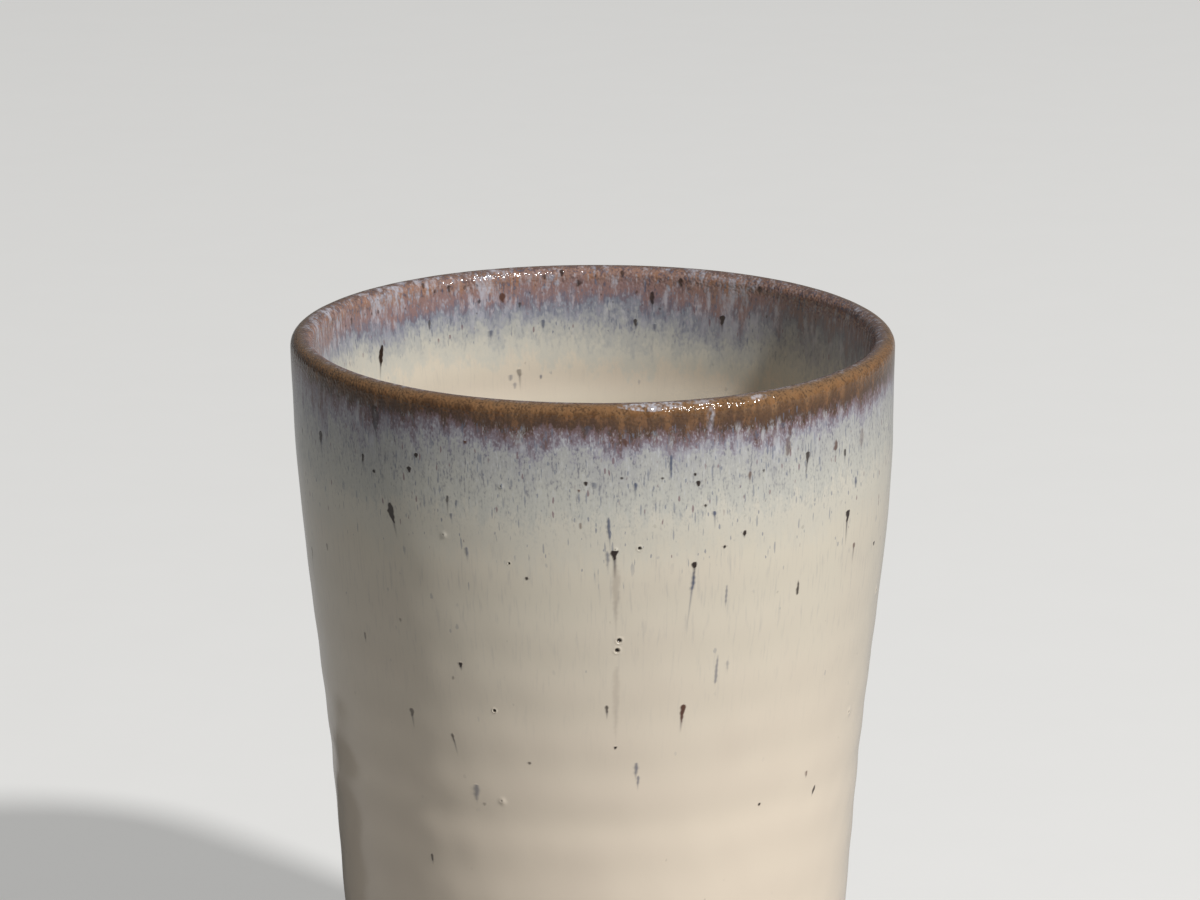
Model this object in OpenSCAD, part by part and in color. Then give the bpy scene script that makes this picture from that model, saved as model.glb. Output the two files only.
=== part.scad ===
// Hand-thrown stoneware beer cup without a handle: a turned clay body under three fired glaze coats.
// Millimetres, +Z up. The origin is on the standing plane, on the cup's axis.

/* [Cup] */
// Height over the glazed lip
cup_h = 122; // [110:1:140]
// Diameter over the glazed rim
rim_d = 88; // [84:0.5:94]
// Diameter over the glaze at two thirds of the wall's height
upper_d = 83.4; // [80:0.2:87]
// Diameter over the glaze at one third of the wall's height
lower_d = 76.4; // [73:0.2:80]
// Diameter over the glaze where the wall turns in to the foot
heel_d = 71.4; // [69:0.2:75]

/* [Throwing rings] */
// Height of one throwing ring
ring_pitch = 8; // [6:0.5:12]
// Swell of the rings on the outside, from the mean wall
ring_out = 0.08; // [0:0.02:0.24]
// Swell of the rings on the inside, from the mean wall
ring_in = 0.2; // [0:0.02:0.4]

/* [Wall and floor] */
// Thickness of the lip over its glaze
lip_t = 3.3; // [2.8:0.1:4.4]
// Thickness of the clay wall at the heel
wall_t = 5; // [4:0.2:6]
// Thickness of the clay floor
floor_t = 6; // [5:0.5:8]
// Radius of the round between the inner wall and the floor
bowl_r = 12; // [8:1:16]

/* [Foot] */
// Diameter of the turned foot ring
foot_d = 62; // [58:0.5:65]
// Width of the foot ring
foot_w = 5; // [4:0.5:8]
// Height of the foot ring's outer side
foot_h = 3.6; // [3:0.2:5]
// Height of the heel's curve above the foot ring
heel_h = 5.4; // [4.5:0.2:7]
// Depth of the turned hollow under the floor
hollow_h = 2.4; // [1.8:0.2:3.2]
// Softened edge of the foot ring
foot_edge = 0.8; // [0.4:0.1:1.2]

/* [Glaze] */
// Full thickness of the cream glaze
cream_t = 0.6; // [0.4:0.05:0.8]
// Thickness of the cream glaze where it thins over the lip
cream_lip_t = 0.2; // [0.15:0.05:0.3]
// Depth below the lip at which the cream glaze is back to full thickness
cream_thin_h = 20; // [12:1:30]
// Thickness of the rim glaze on the lip
rim_t = 0.3; // [0.2:0.05:0.4]
// Thickness of the rim glaze at its feathered lower edge
rim_edge_t = 0.15; // [0.12:0.01:0.2]
// Clearance between the rim glaze and the cream glaze under it
rim_gap = 0.05; // [0.04:0.01:0.08]
// Reach of the rim glaze down the outside
rim_out_h = 14; // [8:1:24]
// Reach of the rim glaze down the inside
rim_in_h = 11; // [6:1:20]
// Bare part of the heel's curve, as a share of its turn
heel_bare = 0.34; // [0.2:0.02:0.5]
// Extra thickness of the roll where the cream glaze stopped running
roll_t = 0.35; // [0:0.05:0.6]
// Height over which the roll thins out again
roll_h = 6; // [3:0.5:10]

/* [Hidden] */
$fn = 96;

// Points along each stretch of the section
wall_steps = 78;
lap_steps = 12;
lip_steps = 12;
round_steps = 10;

// Clay sizes under the glaze
lip_r = lip_t / 2 - cream_lip_t - rim_t;
lip_z = cup_h - lip_t / 2;
lip_axis_r = rim_d / 2 - lip_t / 2;
heel_z = foot_h + heel_h;
foot_r = foot_d / 2;
hollow_r = foot_r - foot_w;
floor_z = hollow_h + floor_t;
bowl_z = floor_z + bowl_r;
rim_out_z = lip_z - rim_out_h;
rim_in_z = lip_z - rim_in_h;
clay_radii = [
    heel_d / 2 - cream_t,
    lower_d / 2 - cream_t,
    upper_d / 2 - cream_t,
    lip_axis_r + lip_r
];

// Eases from 0 to 1 as x goes from 0 to 1, level at both ends
function ease(x) = let (c = min(max(x, 0), 1)) c * c * (3 - 2 * c);

// Share of the wall's height, from 0 at the heel to 1 at the lip
function share(z) = (z - heel_z) / (lip_z - heel_z);

// Cubic through four radii, evenly spaced from the heel to the lip
function through(r, u) =
    -4.5 * r[0] * (u - 1/3) * (u - 2/3) * (u - 1)
    + 13.5 * r[1] * u * (u - 2/3) * (u - 1)
    - 13.5 * r[2] * u * (u - 1/3) * (u - 1)
    + 4.5 * r[3] * u * (u - 1/3) * (u - 2/3);

// Throwing ring at a height, fading out at the heel and under the lip
function ring(z, swell) =
    let (u = share(z))
    swell * sin(360 * (z - heel_z) / ring_pitch) * ease(u / 0.12) * ease((1 - u) / 0.15);

// Radii of the clay wall's outer and inner face
function outer_r(z) = through(clay_radii, share(z)) + ring(z, ring_out);
function inner_r(z) =
    let (t = wall_t + (2 * lip_r - wall_t) * share(z))
    through(clay_radii, share(z)) - t + ring(z, ring_in);

// Glaze thickness at a height, with the roll at the outer coat's lower edge
function cream(z) = cream_lip_t + (cream_t - cream_lip_t) * ease((lip_z - z) / cream_thin_h);
function roll(z) = roll_t * ease(1 - (z - skin[0][1]) / roll_h);
function rim_coat(z, reach) = rim_edge_t + (rim_t - rim_edge_t) * ease(1 - (lip_z - z) / reach);

// Points of one stretch, without its last point
function stretch(from, to, steps) = [for (i = [0 : steps - 1]) from + (to - from) * i / steps];
function outer_wall(z0, z1, steps) = [for (z = stretch(z0, z1, steps)) [outer_r(z), z]];
function inner_wall(z0, z1, steps) = [for (z = stretch(z0, z1, steps)) [inner_r(z), z]];

// Heel curve: a quarter ellipse from the top of the foot ring out to the wall
function heel(s) = [
    foot_r + (outer_r(heel_z) - foot_r) * sin(90 * s),
    heel_z - heel_h * cos(90 * s)
];

// Lip: a half round from the outer to the inner face of the wall
function lip(a) = [lip_axis_r + lip_r * cos(a), lip_z + lip_r * sin(a)];

// Bowl: a quarter round from the inner wall down to the floor
bowl_axis_r = inner_r(bowl_z) - bowl_r;
function bowl(a) = [bowl_axis_r + bowl_r * cos(a), bowl_z - bowl_r * sin(a)];

// Glazed face of the clay: from the bare heel up, over the lip, down inside and in to the axis
skin = concat(
    [for (s = stretch(heel_bare, 1, round_steps)) heel(s)],
    outer_wall(heel_z, rim_out_z, wall_steps),
    outer_wall(rim_out_z, lip_z, lap_steps),
    [for (a = stretch(0, 180, lip_steps)) lip(a)],
    inner_wall(lip_z, rim_in_z, lap_steps),
    inner_wall(rim_in_z, bowl_z, wall_steps),
    [for (a = stretch(0, 90, round_steps)) bowl(a)],
    [[bowl_axis_r, floor_z], [0, floor_z]]
);
rim_first = round_steps + wall_steps;
crown = rim_first + lap_steps + lip_steps / 2;
rim_last = crown + lip_steps / 2 + lap_steps;
skin_last = len(skin) - 1;

// Bare face of the clay: from the axis out under the floor, round the foot ring and up the heel
bare = concat(
    [
        [0, hollow_h],
        [hollow_r - foot_edge, hollow_h],
        [hollow_r, hollow_h - foot_edge],
        [hollow_r, foot_edge],
        [hollow_r + foot_edge, 0],
        [foot_r - foot_edge, 0],
        [foot_r, foot_edge]
    ],
    [for (s = stretch(0, heel_bare, round_steps)) heel(s)]
);

// Direction out of a line of points at one of them
function out(line, i) =
    let (d = line[min(i + 1, len(line) - 1)] - line[max(i - 1, 0)])
    [d[1], -d[0]] / norm(d);

// The skin raised by the cream glaze, and that raised to the two faces of the rim glaze
cream_face = [
    for (i = [0 : skin_last])
        let (z = skin[i][1])
        skin[i] + (cream(z) + (i < crown ? roll(z) : 0)) * out(skin, i)
];
rim_seat = [for (i = [0 : skin_last]) cream_face[i] + rim_gap * out(skin, i)];
rim_face = [
    for (i = [0 : skin_last])
        cream_face[i] + rim_coat(skin[i][1], i < crown ? rim_out_h : rim_in_h) * out(skin, i)
];

// Ring between two faces, from one point of the section to another
module coat(under, over, first, last) {
    rotate_extrude()
        polygon(concat(
            [for (i = [first : last]) under[i]],
            [for (i = [last : -1 : first]) over[i]]
        ));
}

module clay_body() {
    color("peru")
        rotate_extrude()
            polygon(concat(bare, skin));
}

module outer_glaze() {
    color("antiquewhite")
        coat(skin, cream_face, 0, crown);
}

module liner_glaze() {
    color("linen")
        coat(skin, cream_face, crown, skin_last);
}

module rim_glaze() {
    color("sienna")
        coat(rim_seat, rim_face, rim_first, rim_last);
}

clay_body();
outer_glaze();
liner_glaze();
rim_glaze();
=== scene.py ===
"""Hand-thrown stoneware beer cup: its bare clay and its three glaze coats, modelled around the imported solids.

Lengths are in millimetres until a mesh is placed, and in metres from there on. An angle of 0 is the side
towards the camera. The arc runs along the glazed section from the crown of the lip, in millimetres: below 0
down the outside, above 0 down the inside. A span is the two values between which something eases in.
"""

import logging
import math
from collections.abc import Callable, Iterator, Mapping
from dataclasses import dataclass, field
from enum import Enum

import bmesh
import bpy
import numpy as np
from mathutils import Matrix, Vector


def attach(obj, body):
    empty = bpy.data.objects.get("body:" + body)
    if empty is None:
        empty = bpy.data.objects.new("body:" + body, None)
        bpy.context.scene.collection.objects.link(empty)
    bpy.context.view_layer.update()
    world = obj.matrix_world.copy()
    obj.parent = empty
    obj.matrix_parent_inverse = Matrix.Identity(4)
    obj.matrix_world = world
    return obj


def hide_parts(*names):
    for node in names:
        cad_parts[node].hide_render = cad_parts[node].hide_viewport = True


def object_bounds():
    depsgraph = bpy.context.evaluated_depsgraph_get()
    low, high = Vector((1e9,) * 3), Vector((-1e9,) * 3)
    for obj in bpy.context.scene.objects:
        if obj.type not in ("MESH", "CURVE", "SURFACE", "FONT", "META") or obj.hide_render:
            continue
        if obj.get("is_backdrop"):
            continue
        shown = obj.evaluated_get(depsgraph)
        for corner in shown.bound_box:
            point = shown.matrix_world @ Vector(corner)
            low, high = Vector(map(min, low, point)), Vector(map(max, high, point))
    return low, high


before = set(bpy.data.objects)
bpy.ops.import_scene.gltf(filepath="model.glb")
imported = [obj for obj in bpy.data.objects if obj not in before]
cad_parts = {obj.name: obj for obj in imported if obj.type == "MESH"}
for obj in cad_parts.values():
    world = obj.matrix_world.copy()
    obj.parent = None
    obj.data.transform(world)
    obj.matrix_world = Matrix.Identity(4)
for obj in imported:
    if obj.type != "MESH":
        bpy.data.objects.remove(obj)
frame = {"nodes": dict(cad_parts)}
CAD_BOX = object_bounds()

LOG = logging.getLogger("beer_cup")
BODY = "root"
MM = 0.001
TURN = 2 * math.pi
Colour = tuple[float, float, float, float]
Span = tuple[float, float]
Points = np.ndarray


def ease(x: Points, low: float, high: float) -> Points:
    """Eases from 0 at low to 1 at high, level at both ends."""
    share = np.clip((x - low) / (high - low), 0, 1)
    return share * share * (3 - 2 * share)


def hue(red: int, green: int, blue: int) -> Colour:
    """Turns a colour as it is seen, 0 to 255, into the linear colour that a shader takes."""
    seen = [channel / 255 for channel in (red, green, blue)]
    return (*(c / 12.92 if c <= 0.04045 else ((c + 0.055) / 1.055) ** 2.4 for c in seen), 1.0)


def travelled(line: Points) -> Points:
    """Length along a line of points, up to each of them."""
    return np.concatenate([[0], np.cumsum(np.hypot(*np.diff(line, axis=0).T))])


def points_of(mesh: bpy.types.Mesh) -> Points:
    """Reads the places of a mesh's points.

    Args:
        mesh: the mesh.

    Returns:
        One row for each point.
    """
    places = np.empty(len(mesh.vertices) * 3)
    mesh.vertices.foreach_get("co", places)
    return places.reshape(-1, 3)


def corners_of(mesh: bpy.types.Mesh) -> tuple[Points, Points]:
    """Reads the corners of a mesh's faces.

    Args:
        mesh: the mesh.

    Returns:
        The point and the face of each corner.
    """
    corner = np.empty(len(mesh.loops), np.int32)
    mesh.loops.foreach_get("vertex_index", corner)
    sizes = np.empty(len(mesh.polygons), np.int32)
    mesh.polygons.foreach_get("loop_total", sizes)
    return corner, np.repeat(np.arange(len(sizes)), sizes)


def store(mesh: bpy.types.Mesh, name: str, kind: str, values: Points, domain: str = "POINT") -> None:
    """Stores one value for each point or face of a mesh.

    Args:
        mesh: the mesh.
        name: the attribute's name.
        kind: Blender's name of its type.
        values: the values.
        domain: what the values belong to.
    """
    field_name = {"FLOAT": "value", "FLOAT_VECTOR": "vector", "FLOAT_COLOR": "color"}[kind]
    attribute = mesh.attributes.new(name, kind, domain)
    attribute.data.foreach_set(field_name, np.ascontiguousarray(values, np.float32).ravel())


@dataclass(frozen=True)
class Grain:
    """Grain of a pattern: its width round the cup, its length down the wall, and a shift that sets it apart.

    The detail is how many finer layers noise of this grain has on top.
    """

    across: float
    along: float
    shift: float
    detail: float = 2.0

    def scaled(self, size: float) -> "Grain":
        """The same grain, made coarser or finer."""
        return Grain(self.across * size, self.along * size, self.shift, self.detail)


class Value:
    """A socket in a finish's nodes. Arithmetic on it adds Math nodes."""

    def __init__(self, maker: "NodeMaker", socket: bpy.types.NodeSocket) -> None:
        """Wraps one output socket."""
        self.maker = maker
        self.socket = socket

    def _math(self, operation: str, *terms: "Value | float") -> "Value":
        """Adds one Math node."""
        return self.maker.node("ShaderNodeMath", {"operation": operation}, dict(enumerate(terms)))

    def __add__(self, other: "Value | float") -> "Value":
        """Sum."""
        return self._math("ADD", self, other)

    def __radd__(self, other: float) -> "Value":
        """Sum with the number first."""
        return self._math("ADD", other, self)

    def __sub__(self, other: "Value | float") -> "Value":
        """Difference."""
        return self._math("SUBTRACT", self, other)

    def __rsub__(self, other: float) -> "Value":
        """Difference with the number first."""
        return self._math("SUBTRACT", other, self)

    def __mul__(self, other: "Value | float") -> "Value":
        """Product."""
        return self._math("MULTIPLY", self, other)

    def __rmul__(self, other: float) -> "Value":
        """Product with the number first."""
        return self._math("MULTIPLY", other, self)

    def __abs__(self) -> "Value":
        """Size without sign."""
        return self._math("ABSOLUTE", self)

    def at_most(self, other: "Value | float") -> "Value":
        """The smaller of two values."""
        return self._math("MINIMUM", self, other)

    def ease(self, low: float, high: float) -> "Value":
        """Eases from 0 at low to 1 at high, and falls with it where low is above high."""
        sockets = {"Value": self, "From Min": low, "From Max": high}
        return self.maker.node("ShaderNodeMapRange", {"interpolation_type": "SMOOTHSTEP"}, sockets)

    def output(self, name: str) -> "Value":
        """Another output of the same node."""
        return Value(self.maker, self.socket.node.outputs[name])


class NodeMaker:
    """The nodes of one material or world."""

    def __init__(self, owner: bpy.types.Material | bpy.types.World, shader: str) -> None:
        """Starts from the owner's own shader node.

        Args:
            owner: the material or world.
            shader: the shader node's name.
        """
        owner.use_nodes = True
        self.owner = owner
        self.tree = owner.node_tree
        self.shader = self.tree.nodes[shader]

    @classmethod
    def material(cls, name: str) -> "NodeMaker":
        """Starts a material."""
        return cls(bpy.data.materials.new(name), "Principled BSDF")

    def node(
        self,
        kind: str,
        settings: Mapping[str, object],
        sockets: Mapping[int | str, object],
        output: int | str = 0,
    ) -> Value:
        """Adds a node.

        Args:
            kind: Blender's name of the node type.
            settings: the node's own properties, which are set first.
            sockets: a number, a colour or a Value for each input.
            output: the output to return.

        Returns:
            The chosen output.
        """
        made = self.tree.nodes.new(kind)
        for key, setting in settings.items():
            setattr(made, key, setting)
        for key, value in sockets.items():
            self.feed(made.inputs[key], value)
        return Value(self, made.outputs[output])

    def feed(self, socket: bpy.types.NodeSocket, value: object) -> None:
        """Fills one input.

        Args:
            socket: the input.
            value: a Value to link to it, or a number or colour to set it to.
        """
        if isinstance(value, Value):
            self.tree.links.new(value.socket, socket)
        else:
            socket.default_value = value

    def attribute(self, name: str, output: str) -> Value:
        """Reads an attribute of the mesh."""
        return self.node("ShaderNodeAttribute", {"attribute_name": name}, {}, output)

    def seen(self) -> Value:
        """1 for a ray straight from the camera."""
        return self.node("ShaderNodeLightPath", {}, {}, "Is Camera Ray")

    def channel(self, vector: Value, name: str) -> Value:
        """Takes X, Y or Z out of a vector."""
        return self.node("ShaderNodeSeparateXYZ", {}, {0: vector}, name)

    def stretched(self, at: Value, grain: Grain) -> Value:
        """Scales a place on the surface so that one unit is one grain.

        Args:
            at: the place, in millimetres, with the arc as its third number.
            grain: the grain.

        Returns:
            The scaled place.
        """
        scale = (1 / grain.across, 1 / grain.across, 1 / grain.along)
        sockets = {0: at, 1: scale, 2: (grain.shift, -grain.shift, 2 * grain.shift)}
        return self.node("ShaderNodeVectorMath", {"operation": "MULTIPLY_ADD"}, sockets)

    def noise(self, at: Value, grain: Grain) -> Value:
        """Soft noise of a given grain, about 0 and mostly within a third of it."""
        sockets = {"Vector": self.stretched(at, grain), "Scale": 1.0, "Detail": grain.detail}
        return self.node("ShaderNodeTexNoise", {}, sockets) - 0.5

    def specks(self, at: Value, grain: Grain, share: Value | float) -> Value:
        """Scattered specks, one to a cell at most.

        Args:
            at: the place on the surface.
            grain: size of the cells.
            share: share of the cells that hold a speck.

        Returns:
            A mask, 1 in a speck's middle.
        """
        least, more, finer, apart, rough = 0.12, 0.2, 0.4, 3.0, 0.4
        sockets = {"Vector": self.stretched(at, grain), "Scale": 1.0}
        near = self.node("ShaderNodeTexVoronoi", {}, sockets, "Distance")
        lot = self.channel(near.output("Color"), "X")
        size = self.channel(near.output("Color"), "Y") * more + least
        edge = Grain(grain.across * finer, grain.along * finer, grain.shift + apart)
        ragged = self.noise(at, edge) * rough
        return (size - near + ragged).ease(-0.04, 0.08) * (share - lot).ease(0.0, 0.05)

    def mix(self, under: "Value | Colour", over: "Value | Colour", mask: "Value | float") -> Value:
        """Lays one colour over another, by a mask."""
        return self.node("ShaderNodeMix", {"data_type": "RGBA"}, {0: mask, 6: under, 7: over}, 2)

    def surface(self, colour: Value, roughness: Value, height: Value, relief_mm: float) -> None:
        """Joins a finish to the shader.

        Args:
            colour: base colour.
            roughness: roughness.
            height: fine relief, in units of relief_mm.
            relief_mm: millimetres of relief for a height of 1.
        """
        bump = self.node("ShaderNodeBump", {}, {"Distance": relief_mm * MM, "Height": height})
        for name, value in (("Base Color", colour), ("Roughness", roughness), ("Normal", bump)):
            self.feed(self.shader.inputs[name], value)


BROAD = Grain(9.0, 24.0, 1.3)
STRAND = Grain(1.0, 4.6, 4.7, 4.0)
MOTTLE = Grain(1.3, 2.0, 2.9, 4.0)
FINE = Grain(0.3, 0.5, 8.1, 1.0)
THREAD = Grain(0.28, 1.8, 5.2, 3.0)
CLOUDLET = Grain(1.1, 3.4, 6.2, 4.0)


@dataclass(frozen=True)
class RunBands:
    """Colours of the rim glaze on one side of the lip: each colour is full at its own depth below the crown.

    The coarse factor widens the grain. The tilts are how much deeper a place counts for each millimetre that
    it lies to the right, near the lip and low down. Streaks start below solid_mm. The last spans are those of
    the noise that shows each tint.
    """

    stops: tuple[tuple[float, Colour], ...]
    coarse: float
    warm: Colour
    warm_share: float
    dark: Colour
    dark_share: float
    hair: Colour
    milk: Colour
    milk_share: float
    milk_from: float
    solid_mm: float
    run_mm: float
    comb_mm: float
    end_mm: float
    tilt_top: float
    tilt_low: float
    top_span: Span = (1.0, 4.0)
    low_span: Span = (5.0, 11.0)
    hair_share: float = 0.85
    thread_share: float = 0.5
    milk_reach: float = 6.0
    crown_span: Span = (0.0, 2.2)
    dark_span: Span = (0.0, 0.42)
    warm_span: Span = (0.0, 0.35)
    hair_span: Span = (0.0, 0.36)
    thread_span: Span = (-0.06, -0.34)

    def colour(self, maker: NodeMaker, ground: Value, at: Value, drop: Value) -> Value:
        """Colours one side of the lip.

        Args:
            maker: the material's nodes.
            ground: colour of the cream glaze.
            at: the place on the surface.
            drop: arc from the crown of the lip.

        Returns:
            The colour.
        """
        solid, run = self.solid_mm, self.run_mm
        change = self.tilt_low - self.tilt_top
        tilt = drop.ease(*self.top_span) * self.tilt_top + drop.ease(*self.low_span) * change
        drop = drop + maker.channel(at, "X") * tilt
        broad, cloudlet = (maker.noise(at, grain) for grain in (BROAD, CLOUDLET))
        strand, mottle, fine, thread = (
            maker.noise(at, grain.scaled(self.coarse)) for grain in (STRAND, MOTTLE, FINE, THREAD)
        )
        uneven = broad * 5.0 + strand * 4.0 + mottle * 4.5 + fine * 3.2
        depth = drop - uneven * (drop.at_most(run) * (1.0 / run) + 0.3)
        made = self.stops[0][1]
        for (shallow, _), (deep, shade) in zip(self.stops, self.stops[1:]):
            made = maker.mix(made, shade, depth.ease(shallow, deep))
        made = maker.mix(made, ground, depth.ease(self.stops[-1][0], self.end_mm))
        edge = depth.ease(run * 0.75, run * 0.5)
        dark = (mottle * 1.4 + fine * 2.4 - strand * 0.4).ease(*self.dark_span) * self.dark_share
        made = maker.mix(made, self.dark, edge * dark)
        warm = (strand * 1.2 - mottle * 1.4 - fine * 0.8).ease(*self.warm_span) * self.warm_share
        made = maker.mix(made, self.warm, edge * warm * drop.ease(*self.crown_span))
        streaked = drop.ease(self.comb_mm, run * 0.8) * drop.ease(solid, solid + 2.0)
        comb = thread + fine * 0.7 + strand * 0.3
        made = maker.mix(made, self.hair, streaked * comb.ease(*self.hair_span) * self.hair_share)
        made = maker.mix(made, self.milk, streaked * comb.ease(*self.thread_span) * self.thread_share)
        milky = drop.ease(run + self.milk_reach, run) * drop.ease(solid, solid + 1.5)
        white = (cloudlet + fine * 0.4 + broad * 0.5).ease(self.milk_from, self.milk_from + 0.3)
        return maker.mix(made, self.milk, milky * (white * self.milk_share))


OUTSIDE_BANDS = RunBands(
    stops=(
        (0.3, hue(126, 100, 74)),
        (1.7, hue(130, 97, 66)),
        (2.9, hue(95, 67, 43)),
        (4.3, hue(77, 54, 40)),
        (5.5, hue(108, 86, 86)),
        (6.5, hue(126, 113, 121)),
        (7.7, hue(149, 146, 153)),
        (9.2, hue(168, 167, 164)),
        (15.0, hue(184, 182, 173)),
        (19.5, hue(199, 193, 179)),
    ),
    coarse=1.0,
    warm=hue(148, 105, 68),
    warm_share=0.42,
    dark=hue(71, 50, 36),
    dark_share=0.62,
    hair=hue(100, 99, 111),
    milk=hue(194, 195, 198),
    milk_share=0.6,
    milk_from=0.02,
    solid_mm=3.6,
    run_mm=7.5,
    comb_mm=25.0,
    end_mm=26.0,
    tilt_top=-0.018,
    tilt_low=0.022,
)
INSIDE_BANDS = RunBands(
    stops=(
        (0.5, hue(116, 92, 80)),
        (2.0, hue(148, 118, 106)),
        (5.0, hue(143, 116, 113)),
        (6.3, hue(126, 115, 123)),
        (7.6, hue(134, 136, 146)),
        (9.2, hue(157, 158, 161)),
        (11.2, hue(179, 178, 172)),
        (14.0, hue(196, 192, 180)),
    ),
    coarse=1.5,
    warm=hue(158, 116, 90),
    warm_share=0.75,
    dark=hue(92, 74, 76),
    dark_share=0.6,
    hair=hue(98, 99, 116),
    milk=hue(186, 184, 192),
    milk_share=0.8,
    milk_from=-0.03,
    solid_mm=-2.0,
    run_mm=6.0,
    comb_mm=16.0,
    end_mm=17.5,
    tilt_top=0.0,
    tilt_low=-0.045,
)


@dataclass(frozen=True)
class FleckLayer:
    """One layer of flecks below the rim. The share is that of the grain's cells that hold a fleck."""

    tint: Colour
    grain: Grain
    share: float
    strength: float


SLATE = hue(104, 110, 126)
PLUM = hue(116, 90, 96)
FLECK_LAYERS = (
    FleckLayer(SLATE, Grain(0.5, 1.4, 5.5), 0.36, 0.62),
    FleckLayer(SLATE, Grain(0.5, 3.2, 3.1), 0.6, 0.5),
    FleckLayer(PLUM, Grain(0.6, 1.9, 8.3), 0.22, 0.7),
    FleckLayer(SLATE, Grain(1.1, 3.2, 2.3), 0.14, 0.5),
)


@dataclass(frozen=True)
class GlazeFinish:
    """Glossy cream glaze, and over it the rim glaze that fires brown on the edge and runs blue-white below.

    The spans are arcs, or arcs from the crown where both sides of the lip share one.
    """

    name: str
    cream: Colour = hue(203, 195, 178)
    paler_cream: Colour = hue(221, 207, 188)
    pink: Colour = hue(205, 190, 174)
    iron: Colour = hue(40, 28, 23)
    rust: Colour = hue(86, 56, 44)
    blue: Colour = hue(80, 86, 104)
    milk: Colour = hue(198, 200, 210)
    paler_out: Span = (-18.0, -72.0)
    paler_in: Span = (7.0, 16.0)
    veined_out: Span = (-62.0, -14.0)
    veined_in: Span = (24.0, 8.0)
    dusted: Span = (-80.0, -20.0)
    crown: Span = (-1.0, 0.6)
    lip: Span = (5.5, 2.0)
    flecked_from: Span = (3.0, 6.0)
    flecked_out: Span = (-32.0, -8.0)
    flecked_in: Span = (13.0, 7.0)
    gritty_from: Span = (1.0, 2.5)
    gritty_to: Span = (9.0, 6.5)
    cloud: Grain = Grain(16.0, 26.0, 3.4)
    vein: Grain = Grain(0.42, 5.0, 6.6, 3.0)
    dust: Grain = Grain(0.9, 1.5, 4.4)
    grit: Grain = Grain(0.9, 1.1, 7.7)
    patch: Grain = Grain(0.6, 1.3, 3.7, 4.0)
    peel: Grain = Grain(0.42, 0.42, 9.4, 0.0)
    ripple: Grain = Grain(3.2, 4.0, 5.1)
    gloss: float = 0.14
    relief_mm: float = 0.05

    def ground(self, maker: NodeMaker, at: Value, arc: Value, cloud: Value) -> Value:
        """Colours the cream glaze.

        Args:
            maker: the material's nodes.
            at: the place on the surface.
            arc: its arc.
            cloud: broad unevenness.

        Returns:
            The colour.
        """
        # The cream eases paler further from the lip: down the outside wall, and a little deeper inside.
        paler_share = arc.ease(*self.paler_out) + arc.ease(*self.paler_in) * 0.4
        made = maker.mix(self.cream, self.paler_cream, paler_share)
        thin = maker.attribute("thin", "Fac")
        made = maker.mix(made, self.pink, (cloud * 1.2 + thin).ease(-0.3, 0.6) * 0.45)
        veined = arc.ease(*self.veined_out) * arc.ease(*self.veined_in)
        veins = maker.noise(at, self.vein).ease(0.0, 0.3) * veined
        made = maker.mix(made, SLATE, veins * 0.26)
        return maker.mix(made, SLATE, maker.specks(at, self.dust, arc.ease(*self.dusted) * 0.05) * 0.4)

    def flecked(self, maker: NodeMaker, made: Value, at: Value, arc: Value) -> Value:
        """Adds flecks below the rim, and grit on it.

        Args:
            maker: the material's nodes.
            made: the colour so far.
            at: the place on the surface.
            arc: its arc.

        Returns:
            The colour.
        """
        drop = abs(arc)
        held = drop.ease(*self.flecked_from) * arc.ease(*self.flecked_out) * arc.ease(*self.flecked_in)
        for layer in FLECK_LAYERS:
            flecks = maker.specks(at, layer.grain, held * layer.share)
            made = maker.mix(made, layer.tint, flecks * layer.strength)
        within = arc.ease(*self.gritty_from) * arc.ease(*self.gritty_to)
        grit = maker.specks(at, self.grit, drop.ease(*self.lip) * 0.06 + within * 0.14 + 0.02)
        return maker.mix(made, self.iron, grit * 0.55)

    def stained(self, maker: NodeMaker, made: Value, at: Value) -> Value:
        """Adds the marks, by the masks that the mesh holds. These also paint shade into pit and blister holes,
        and a reflection onto the lip's crown.

        Args:
            maker: the material's nodes.
            made: the colour so far.
            at: the place on the surface.

        Returns:
            The colour.
        """
        stain_and_painted_light = maker.attribute("stain_and_painted_light", "Color")
        # milk patches on the crown are partly a painted reflection
        milky = maker.noise(at, self.patch).ease(-0.16, 0.2) * stain_and_painted_light.output("Alpha")
        made = maker.mix(made, self.milk, milky)
        for channel, tint in (("Z", self.blue), ("Y", self.rust), ("X", self.iron)):
            made = maker.mix(made, tint, maker.channel(stain_and_painted_light, channel))
        return made

    def make(self) -> bpy.types.Material:
        """Builds the material.

        Returns:
            The material.
        """
        maker = NodeMaker.material(self.name)
        at = maker.attribute("flow", "Vector")
        arc = maker.channel(at, "Z")
        drop = abs(arc)
        cloud = maker.noise(at, self.cloud)
        ground = self.ground(maker, at, arc, cloud)
        sides = (OUTSIDE_BANDS, INSIDE_BANDS)
        outside, inside = (bands.colour(maker, ground, at, drop) for bands in sides)
        made = maker.mix(outside, inside, arc.ease(*self.crown))
        made = self.flecked(maker, made, at, arc)
        made = self.stained(maker, made, at)
        lip = drop.ease(*self.lip)
        height = maker.noise(at, self.peel) * (lip * 2.4 + 0.04) + maker.noise(at, self.ripple) * 0.4
        maker.surface(made, cloud * 0.06 - lip * 0.04 + self.gloss, height, self.relief_mm)
        return maker.owner


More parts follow.
